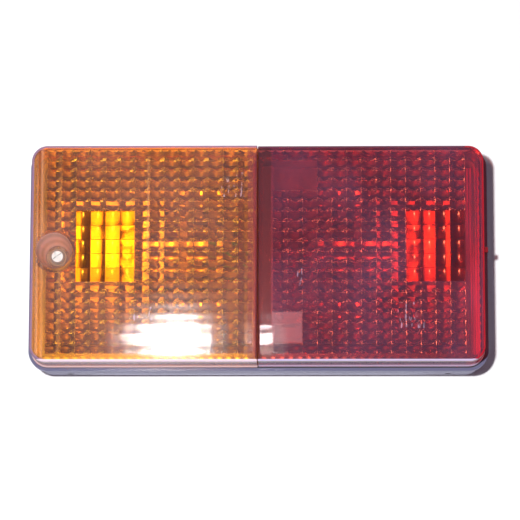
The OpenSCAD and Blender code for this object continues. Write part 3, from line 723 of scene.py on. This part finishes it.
def rounded_copy(node, name, width):
    """Stands for a CAD node with a merged copy, its edges rounded by width and its curved faces smooth."""
    bm = bmesh.new()
    bm.from_mesh(frame["nodes"][node].data)
    bmesh.ops.remove_doubles(bm, verts=bm.verts, dist=MERGE_DISTANCE * MM)
    bmesh.ops.dissolve_limit(bm, angle_limit=math.radians(FLAT_ANGLE), verts=bm.verts, edges=bm.edges)
    piece = link_mesh(name, bm)
    if width:
        bevel = piece.modifiers.new("edges", "BEVEL")
        bevel.width = width * MM
        bevel.segments = BEVEL_STEPS
        bevel.angle_limit = math.radians(BEVEL_ANGLE)
        apply_modifiers(piece)
    smooth_by_angle(piece, COPY_SHARP_ANGLE)
    settle(piece, node, looks[slots[node]])


def new_material(name):
    material = bpy.data.materials.new(name)
    material.use_nodes = True
    tree = material.node_tree
    return material, tree, tree.nodes["Principled BSDF"]


def blend(tree, factor, first, second):
    """Colour that goes from first to second with the factor."""
    mix = tree.nodes.new("ShaderNodeMix")
    mix.data_type = "RGBA"
    for socket, colour in ((mix.inputs["A"], first), (mix.inputs["B"], second)):
        if isinstance(colour, (tuple, list)):
            socket.default_value = (*colour, 1)
        else:
            tree.links.new(colour, socket)
    tree.links.new(factor, mix.inputs["Factor"])
    return mix.outputs["Result"]


def object_place(tree):
    """Object coordinates, whole and split into X, Y and Z."""
    coords = tree.nodes.new("ShaderNodeTexCoord")
    place = tree.nodes.new("ShaderNodeSeparateXYZ")
    tree.links.new(coords.outputs["Object"], place.inputs[0])
    return coords, place


def outer_skin(tree, place, inset):
    """1 on the sides of the lamp, within inset millimetres of the rounded outline of the faces."""
    reach = []
    for axis, half in (("X", LENS_L / 2), ("Y", LENS_W / 2)):
        off = math_node(tree, "ABSOLUTE", place.outputs[axis])
        past = larger(tree, math_node(tree, "SUBTRACT", off, (half - LENS_R) * MM), 0.0)
        reach.append(times(tree, past, past))
    return above(tree, math_node(tree, "SQRT", math_node(tree, "ADD", *reach)), LENS_R - inset)


def streaks(tree, coords, scale, low, high):
    """Noise drawn out along the scale's small axis, cut to 0..1 between low and high."""
    mapping = tree.nodes.new("ShaderNodeMapping")
    mapping.inputs["Scale"].default_value = scale
    noise = tree.nodes.new("ShaderNodeTexNoise")
    noise.inputs["Scale"].default_value = 1
    noise.inputs["Detail"].default_value = 3
    cut_off = tree.nodes.new("ShaderNodeMapRange")
    cut_off.inputs["From Min"].default_value = low
    cut_off.inputs["From Max"].default_value = high
    tree.links.new(coords.outputs["Object"], mapping.inputs["Vector"])
    tree.links.new(mapping.outputs[0], noise.inputs["Vector"])
    tree.links.new(noise.outputs["Fac"], cut_off.inputs["Value"])
    return cut_off.outputs["Result"]


def with_film(tree, share, surface, colour):
    """Surface with a share of diffuse film over it; the film carries dust and painted light and shade."""
    dust_and_light = tree.nodes.new("ShaderNodeBsdfDiffuse")
    tree.links.new(colour, dust_and_light.inputs["Color"])
    filmed = tree.nodes.new("ShaderNodeMixShader")
    tree.links.new(share, filmed.inputs[0])
    tree.links.new(surface, filmed.inputs[1])
    tree.links.new(dust_and_light.outputs[0], filmed.inputs[2])
    return filmed.outputs[0]


def let_lamps_through(tree, surface, tint=None):
    """Ends the material with the surface, clear to the light of the lamps, tinted where a tint is given."""
    clear = tree.nodes.new("ShaderNodeBsdfTransparent")
    if tint is not None:
        tree.links.new(tint, clear.inputs["Color"])
    path = tree.nodes.new("ShaderNodeLightPath")
    mixed = tree.nodes.new("ShaderNodeMixShader")
    tree.links.new(path.outputs["Is Shadow Ray"], mixed.inputs[0])
    tree.links.new(surface, mixed.inputs[1])
    tree.links.new(clear.outputs[0], mixed.inputs[2])
    tree.links.new(mixed.outputs[0], tree.nodes["Material Output"].inputs["Surface"])


def face_height(tree, coords, place):
    """Height of the moulded face: shallow dimples over the pillows, and a slow waviness."""
    turn_x = times(tree, place.outputs["X"], 2 * math.pi / (PILLOW_X * MM))
    turn_y = times(tree, place.outputs["Y"], 2 * math.pi / (PILLOW_Y * MM))
    dimples = math_node(tree, "ADD", math_node(tree, "COSINE", turn_x), math_node(tree, "COSINE", turn_y))
    waves = streaks(tree, coords, (110, 110, 1), 0.0, 1.0)
    return scaled(tree, waves, WAVE_DEPTH * MM, times(tree, dimples, SINK_DEPTH * MM))


def ridge(tree, place, x, half):
    """1 at x millimetres, falling to 0 at half to each side, over the height of the pillow field."""
    off = math_node(tree, "ABSOLUTE", math_node(tree, "SUBTRACT", place.outputs["X"], x * MM))
    rise = larger(tree, scaled(tree, off, -1 / (half * MM), 1.0), 0.0)
    return times(tree, rise, band(tree, place.outputs["Y"], -STRIPE_REACH, STRIPE_REACH))


def scratches(tree, coords, place, where):
    """Fine whitish scratches on the face, where the mask is 1."""
    face = above(tree, place.outputs["Z"], FACE_Z - FACE_SKIN)
    lines = streaks(tree, coords, (900, 260, 1), 0.57, 0.68)
    return times(tree, times(tree, face, where), times(tree, lines, SCRATCH_HAZE))


def recess_highlights(tree, place):
    """Painted light on the wall of the screw recess: a lighter film with painted highlight arcs, strongest
    at its upper left.
    """
    off_x = math_node(tree, "SUBTRACT", place.outputs["X"], SCREW[0] * MM)
    off_y = math_node(tree, "SUBTRACT", place.outputs["Y"], SCREW[1] * MM)
    squares = math_node(tree, "ADD", times(tree, off_x, off_x), times(tree, off_y, off_y))
    reach = math_node(tree, "SQRT", squares)
    left = scaled(tree, math_node(tree, "SUBTRACT", off_y, off_x), 1 / (RECESS_MOUTH_D * MM), 0.35)
    rings = math_node(tree, "SINE", times(tree, reach, 2 * math.pi / (RECESS_RING * MM)))
    arcs = times(tree, left, scaled(tree, rings, 0.3, 0.8))
    highlight = times(tree, below(tree, reach, RECESS_MOUTH_D / 2), scaled(tree, arcs, 0.5, 0.3))
    return times(tree, highlight, above(tree, place.outputs["Z"], RECESS_FLOOR_Z + RECESS_FLOOR_CLEAR))


def light_stripes(tree, coords, place):
    """Painted light: two vertical stripes of light by the amber lens's end wall and one by its window."""
    stripes = larger(tree, ridge(tree, place, *END_LIGHT_STRIPE), ridge(tree, place, *RECESS_LIGHT_STRIPE))
    stripes = larger(tree, stripes, ridge(tree, place, *WINDOW_LIGHT_STRIPE))
    inside = below(tree, place.outputs["Z"], FACE_Z - UNDER_FACE)
    stripes = times(tree, stripes, streaks(tree, coords, (300, 60, 1), 0.2, 0.7))
    return times(tree, stripes, scaled(tree, inside, STRIPE_LIGHT, STRIPE_FACE_LIGHT))


def amber_wear_and_light(tree, coords, place):
    """Wear and painted light on the amber moulding: painted highlights in the screw recess, painted light
    stripes, scratches, and painted light streaks on the end strip.
    """
    recess = recess_highlights(tree, place)
    stripes = light_stripes(tree, coords, place)
    scuffs = larger(tree, area(tree, place, *AMBER_LOW_SCUFF), area(tree, place, *AMBER_HIGH_SCUFF))
    worn_and_lit = larger(tree, stripes, scratches(tree, coords, place, scuffs))
    # Painted light: streaks of light over the amber end strip.
    strip = area(tree, place, *AMBER_END_STRIP)
    strip = times(tree, strip, streaks(tree, coords, (900, 9, 1), 0.4, 0.65))
    worn_and_lit = larger(tree, worn_and_lit, times(tree, strip, AMBER_STRIP_LIGHT))
    return larger(tree, recess, worn_and_lit)


def red_wear_and_light(tree, coords, place):
    """Wear and painted light on the red moulding: painted red glow on the end strip, painted reflection on
    the pad at the lower left, scratches, and painted shade on the ledge.
    """
    # Painted red glow: vertical streaks over the red end strip.
    strip = area(tree, place, *RED_END_STRIP)
    strip = times(tree, strip, streaks(tree, coords, (900, 9, 1), 0.45, 0.62))
    inside = below(tree, place.outputs["Z"], FACE_Z - UNDER_FACE)
    strip = times(tree, times(tree, strip, inside), RED_STRIP_GLOW)
    # Painted reflection: a greyish film over the smooth pad at the lower left.
    pad = times(tree, area(tree, place, *PAD_REFLECTION_AREA), PAD_REFLECTION)
    # Painted shade: a dark film over the ledge under the amber lens.
    under_amber = below(tree, place.outputs["X"], LEDGE_END_X)
    ledge = times(tree, under_amber, below(tree, place.outputs["Z"], SKIRT_Z + LEDGE_TOP))
    ledge = times(tree, ledge, LEDGE_SHADE)
    scuffs = larger(tree, area(tree, place, *RED_RIGHT_SCUFF), area(tree, place, *RED_LEFT_SCUFF))
    worn_and_lit = larger(tree, pad, scratches(tree, coords, place, scuffs))
    return larger(tree, larger(tree, strip, worn_and_lit), ledge)


def polish_face(tree, shader, coords, place):
    """Polished outer face with shallow dimples; all other surfaces as moulded."""
    outside = above(tree, place.outputs["Z"], FACE_Z - FACE_SKIN)
    rough = scaled(tree, outside, POLISHED - MOULDED, MOULDED)
    tree.links.new(rough, shader.inputs["Roughness"])
    bump = tree.nodes.new("ShaderNodeBump")
    bump.inputs["Distance"].default_value = 1
    tree.links.new(times(tree, face_height(tree, coords, place), outside), bump.inputs["Height"])
    tree.links.new(bump.outputs["Normal"], shader.inputs["Normal"])


def smudge_and_veil_share(tree, coords, place, side, clean_window):
    """Share of smudges over the lens, a film that also paints a pale veil of reflected room light; less in
    the window's area by clean_window.
    """
    window = window_area(tree, place, Field(side))
    clean = scaled(tree, window, -clean_window, 1.0)
    smudges_and_veil = scaled(tree, streaks(tree, coords, (28, 28, 1), 0.3, 0.7), 1.0, 0.5)
    return times(tree, clean, times(tree, smudges_and_veil, FACE_DUST_AND_VEIL))


def lens_plastic(name, side, tint, clean_window, wear_and_light, dust_and_light, highlight_and_scratch, side_sheen, end, end_side, joint_shade):
    """Clear coloured moulding: refracts for the eye and lets the lamps shine through, tinted.

    The colours are those of the film, mostly painted light: the dust colour on the face, also painting a
    veil of reflected room light; the highlight colour, a painted highlight on lit edges and the colour of
    scratches; the side colour, a painted sheen on the skirt; the end colours, painted light by the end
    wall; the joint colour, painted shade by the other lens.
    """
    material, tree, shader = new_material(name)
    shader.inputs["Transmission Weight"].default_value = 1
    shader.inputs["IOR"].default_value = 1.49
    coords, place = object_place(tree)
    height = place.outputs["Z"]
    skin = outer_skin(tree, place, SIDE_SKIN)
    side_tint = [c * SIDE_TINT for c in tint]
    tree.links.new(blend(tree, skin, tint, side_tint), shader.inputs["Base Color"])
    polish_face(tree, shader, coords, place)

    # Painted highlight: the highlight colour as a film over the foot's bead and the lower rounded edge of
    # the face.
    foot = band(tree, height, SKIRT_Z - 1, SKIRT_Z + FOOT_H + FOOT_SLACK)
    rim = above(tree, height, FACE_Z - EDGE_R)
    lit = times(tree, rim, below(tree, place.outputs["Y"], LIT_REACH - LENS_W / 2))
    shine = larger(tree, times(tree, foot, FOOT_HIGHLIGHT), times(tree, lit, EDGE_HIGHLIGHT))
    # Painted sheen: the side colour as a film over the skirt, strongest on the rounded rim.
    edge = scaled(tree, rim, RIM_SHEEN - SIDE_SHEEN, SIDE_SHEEN)
    edge = times(tree, skin, larger(tree, shine, edge))
    # Painted shade: a dark film over the strip by the joint between the lenses, reddish on the amber lens.
    by_joint = band(tree, place.outputs["X"], *JOINT_SHADE_X)
    edge = larger(tree, edge, times(tree, by_joint, JOINT_SHADE))
    wear_and_light_places = larger(tree, wear_and_light(tree, coords, place), edge)
    # Smudges, whose film also paints a pale veil of reflected room light.
    smudges_and_veil = smudge_and_veil_share(tree, coords, place, side, clean_window)

    # Painted light by the end walls: the end colours over the marks there and on the sides, a red glow on
    # the red lens.
    by_end = band(tree, place.outputs["X"], *(AMBER_END if side < 0 else RED_END))
    wear_and_light_mask = math_node(tree, "GREATER_THAN", wear_and_light_places, MARK_LEVEL)
    film = blend(tree, wear_and_light_mask, dust_and_light, blend(tree, by_end, highlight_and_scratch, end))
    film = blend(tree, by_joint, film, joint_shade)
    painted_side_light = blend(tree, larger(tree, foot, lit), blend(tree, by_end, side_sheen, end_side), highlight_and_scratch)
    film = blend(tree, skin, film, painted_side_light)
    filmed = with_film(tree, math_node(tree, "ADD", smudges_and_veil, wear_and_light_places), shader.outputs[0], film)

    lamp_tint = [math.sqrt(c) for c in tint]
    side_lamp_tint = [c * SIDE_SHADE for c in lamp_tint]
    let_lamps_through(tree, filmed, blend(tree, skin, lamp_tint, side_lamp_tint))
    return material


def amber_plastic():
    # Film colours: dust with a painted veil, painted highlight that is also the scratch colour, painted
    # sheen on the sides, painted light by the end, painted shade by the joint.
    painted_side_light = (0.3, 0.2, 0.32)
    return lens_plastic("amber_plastic", AMBER_SIDE, AMBER_TINT, clean_window=0.85, wear_and_light=amber_wear_and_light,
                        dust_and_light=(0.6, 0.42, 0.6), highlight_and_scratch=(0.95, 0.75, 0.85), side_sheen=painted_side_light,
                        end=(1.0, 0.68, 0.62), end_side=painted_side_light, joint_shade=(0.3, 0.1, 0.2))


def red_plastic():
    # Film colours as for the amber lens; the end colour paints a red glow, dimmer on the end's sides.
    end_side = tuple(c * RED_END_SIDE_GLOW for c in RED_END_GLOW)
    return lens_plastic("red_plastic", RED_SIDE, RED_TINT, clean_window=0.5, wear_and_light=red_wear_and_light,
                        dust_and_light=(0.42, 0.3, 0.65), highlight_and_scratch=(0.7, 0.6, 0.85), side_sheen=(0.14, 0.06, 0.1),
                        end=RED_END_GLOW, end_side=end_side, joint_shade=(0.1, 0.08, 0.12))


def black_moulding(name):
    """Glossy black plastic with a bluish film on the base's outer sides: pale on the tray, dust with a
    painted reflection, and dark on the flange, painted shade over its gloss."""
    material, tree, shader = new_material(name)
    shader.inputs["Base Color"].default_value = (0.03, 0.03, 0.045, 1)
    shader.inputs["Sheen Weight"].default_value = 0.7
    shader.inputs["Sheen Roughness"].default_value = 0.3
    shader.inputs["Sheen Tint"].default_value = (0.75, 0.78, 1, 1)
    coords, place = object_place(tree)
    skin = outer_skin(tree, place, BASE_SKIN)
    inner = math_node(tree, "SUBTRACT", 1.0, skin)
    rough = scaled(tree, streaks(tree, coords, (600, 600, 600), 0.3, 0.7), 0.08, 0.1)
    tree.links.new(scaled(tree, inner, INNER_ROUGHNESS, rough), shader.inputs["Roughness"])
    # Film on the outer sides: pale on the tray, dust with painted reflection; dark on the flange, painted
    # shade.
    tray = below(tree, place.outputs["Z"], TRAY_H)
    share = times(tree, scaled(tree, tray, TRAY_DUST_AND_REFLECTION - FLANGE_SHADE, FLANGE_SHADE), skin)
    film = blend(tree, tray, (0.2, 0.2, 0.34), (0.78, 0.8, 1.0))
    filmed = with_film(tree, share, shader.outputs[0], film)
    tree.links.new(filmed, tree.nodes["Material Output"].inputs["Surface"])
    return material


def plain(name, colour, roughness, metallic=0.0, grain=0.0, grain_scale=900):
    """Opaque finish with a little tone and gloss variation."""
    material, tree, shader = new_material(name)
    nodes, links = tree.nodes, tree.links
    shader.inputs["Metallic"].default_value = metallic
    coords = nodes.new("ShaderNodeTexCoord")
    noise = nodes.new("ShaderNodeTexNoise")
    noise.inputs["Scale"].default_value = grain_scale
    noise.inputs["Detail"].default_value = 4
    links.new(coords.outputs["Object"], noise.inputs["Vector"])
    darker = [c * 0.82 for c in colour]
    lighter = [min(c * 1.15, 1) for c in colour]
    links.new(blend(tree, noise.outputs["Fac"], darker, lighter), shader.inputs["Base Color"])
    gloss = nodes.new("ShaderNodeMapRange")
    gloss.inputs["To Min"].default_value = roughness * 0.8
    gloss.inputs["To Max"].default_value = roughness * 1.25
    links.new(noise.outputs["Fac"], gloss.inputs["Value"])
    links.new(gloss.outputs["Result"], shader.inputs["Roughness"])
    if grain:
        bump = nodes.new("ShaderNodeBump")
        bump.inputs["Strength"].default_value = grain
        bump.inputs["Distance"].default_value = 0.0001
        links.new(noise.outputs["Fac"], bump.inputs["Height"])
        links.new(bump.outputs["Normal"], shader.inputs["Normal"])
    return material


def mirror_sheet(name):
    """Polished aluminium, painted near black as painted shade at the reflectors' ends towards the middle of
    the lamp.
    """
    material, tree, shader = new_material(name)
    shader.inputs["Metallic"].default_value = 1
    coords, place = object_place(tree)
    far = larger(tree, below(tree, place.outputs["X"], AMBER_PAINTED_SHADE_X),
                 above(tree, place.outputs["X"], RED_PAINTED_SHADE_X))
    patches = streaks(tree, coords, (400, 400, 400), 0.3, 0.7)
    bright = blend(tree, patches, (0.8, 0.8, 0.77), (1, 1, 0.97))
    # Painted shade: the metal near black towards the middle of the lamp, polished beyond.
    tree.links.new(blend(tree, far, (0.03, 0.02, 0.015), bright), shader.inputs["Base Color"])
    rough = scaled(tree, streaks(tree, coords, (900, 60, 900), 0.3, 0.7), 0.06, 0.43)
    tree.links.new(rough, shader.inputs["Roughness"])
    return material


def clear_glass(name):
    material, tree, shader = new_material(name)
    shader.inputs["Base Color"].default_value = (0.97, 0.98, 1, 1)
    shader.inputs["Transmission Weight"].default_value = 1
    shader.inputs["Roughness"].default_value = 0.01
    shader.inputs["IOR"].default_value = 1.5
    let_lamps_through(tree, shader.outputs[0])
    return material


def dress(node, material):
    piece = frame["nodes"][node]
    piece.data.materials.clear()
    piece.data.materials.append(material)


def finishes():
    """Every finish on the lamp, by the record's slot."""
    return {
        "black_gloss_plastic": black_moulding("black_gloss_plastic"),
        "amber_plastic": amber_plastic(),
        "red_plastic": red_plastic(),
        "black_rubber": plain("black_rubber", (0.03, 0.03, 0.03), 0.7, grain=0.3),
        "black_matt_plastic": plain("black_matt_plastic", (0.04, 0.04, 0.045), 0.5, grain=0.3),
        "zinc_plate": plain("zinc_plate", (0.08, 0.077, 0.075), 0.55, metallic=1.0, grain=0.1),
        "nickel_plate": plain("nickel_plate", (0.6, 0.59, 0.57), 0.3, metallic=1.0, grain=0.6),
        "aluminium": plain("aluminium", (0.8, 0.8, 0.8), 0.3, metallic=1.0, grain=0.1),
        "bright_aluminium": mirror_sheet("bright_aluminium"),
        "brown_laminate": plain("brown_laminate", (0.2, 0.09, 0.03), 0.5, grain=0.2),
        "brass": plain("brass", (0.75, 0.55, 0.25), 0.25, metallic=1.0, grain=0.1),
        "cap_glass": plain("cap_glass", (0.02, 0.02, 0.04), 0.15),
        "bulb_glass": clear_glass("bulb_glass"),
        "tungsten": plain("tungsten", (0.3, 0.3, 0.32), 0.4, metallic=1.0),
        "green_insulation": plain("green_insulation", (0.03, 0.2, 0.05), 0.4),
        "red_insulation": plain("red_insulation", (0.35, 0.02, 0.02), 0.4),
        "brown_insulation": plain("brown_insulation", (0.12, 0.05, 0.02), 0.4),
    }


def dull_nickel():
    return plain("dull_nickel_plate", (0.55, 0.54, 0.53), 0.66, metallic=1.0, grain=1.0, grain_scale=1500)


def build_stage():
    """White paper under the lamp."""
    bm = bmesh.new()
    corners = ((-PAPER_HALF, -PAPER_HALF), (PAPER_HALF, -PAPER_HALF),
               (PAPER_HALF, PAPER_HALF), (-PAPER_HALF, PAPER_HALF))
    bm.faces.new([bm.verts.new((x, y, -PAPER_DROP)) for x, y in corners])
    paper = link_mesh("paper", bm)
    material, tree, shader = new_material("white_paper")
    shader.inputs["Base Color"].default_value = (0.9, 0.9, 0.91, 1)
    shader.inputs["Roughness"].default_value = 0.9
    paper.data.materials.append(material)


def add_area(name, place, target, size, power, shape="DISK"):
    """Area light at place, aimed at target, its first side along the lamp."""
    data = bpy.data.lights.new(name, "AREA")
    data.shape = shape
    data.size = size[0]
    if len(size) > 1:
        data.size_y = size[1]
    data.energy = power
    lamp = bpy.data.objects.new(name, data)
    outward = (place - target).normalized()
    side = (Vector((1, 0, 0)) - outward * outward.x).normalized()
    lamp_axes = Matrix((side, outward.cross(side), outward)).transposed().to_4x4()
    lamp_axes.translation = place
    lamp.matrix_world = lamp_axes
    bpy.context.scene.collection.objects.link(lamp)


def add_glare(spot, size, power):
    """Small lamp that the faces mirror at one pixel of the photograph."""
    sight = pixel_ray(*spot)
    camera = camera_place()
    glare = camera + sight * ((FACE_Z * MM - camera.z) / sight.z)
    mirrored = Vector((sight.x, sight.y, -sight.z))
    add_area("small_lamp", glare + mirrored * GLARE_DISTANCE, glare, size, power, "ELLIPSE")


def add_flash():
    """Flash beside the camera, a little up and to the left."""
    right, up, back = camera_axes()
    middle = Vector((0, 0, FACE_Z * MM))
    away = (back - right * math.tan(FLASH_LEFT) + up * math.tan(FLASH_UP)).normalized()
    add_area("flash", middle + away * FLASH_DISTANCE, middle, (FLASH_SIZE,), FLASH_POWER)


def add_glares():
    """The flash's glare on the amber face with its fringe and veil, two glints left of it and one on the
    red face."""
    add_glare(GLARE_LEFT_PX, (0.020, 0.011), 0.076)
    add_glare(GLARE_MIDDLE_PX, (0.026, 0.017), 0.153)
    add_glare(GLARE_LOW_PX, (0.022, 0.007), 0.053)
    add_glare(GLARE_RIGHT_PX, (0.008, 0.008), 0.022)
    add_glare(GLARE_FRINGE_PX, (0.07, 0.03), 0.009)
    add_glare(GLARE_VEIL_PX, (0.14, 0.05), 0.004)
    add_glare(GLINT_NEAR_PX, (0.003, 0.008), 0.012)
    add_glare(GLINT_FAR_PX, (0.002, 0.006), 0.005)
    add_glare(GLINT_RED_PX, (0.004, 0.008), 0.02)


def light_room():
    """Weak light from the room, enough bounces for the tinted lenses, and plain tones."""
    world = bpy.data.worlds.new("room")
    bpy.context.scene.world = world
    world.use_nodes = True
    background = world.node_tree.nodes["Background"]
    background.inputs["Color"].default_value = (*ROOM_COLOUR, 1)
    background.inputs["Strength"].default_value = ROOM_STRENGTH
    cycles = bpy.context.scene.cycles
    cycles.max_bounces = 20
    cycles.transmission_bounces = 20
    cycles.glossy_bounces = 8
    cycles.transparent_max_bounces = 24
    bpy.context.scene.view_settings.view_transform = "Standard"


add_camera()
looks = finishes()
slots = {row["node"]: row["material_slot"] for row in frame["record"]["subparts"]}
for node, slot in slots.items():
    dress(node, looks[slot])
build_amber_lens(looks["amber_plastic"])
build_red_lens(looks["red_plastic"])
rounded_copy("base_housing", "base_moulding", BASE_EDGE_R)
dress("screw_washer", looks["brown_laminate"])
dress("lens_screw", dull_nickel())
for node in SMOOTHED_NODES:
    rounded_copy(node, node + "_smooth", 0.0)
build_stage()
add_flash()
add_glares()
light_room()
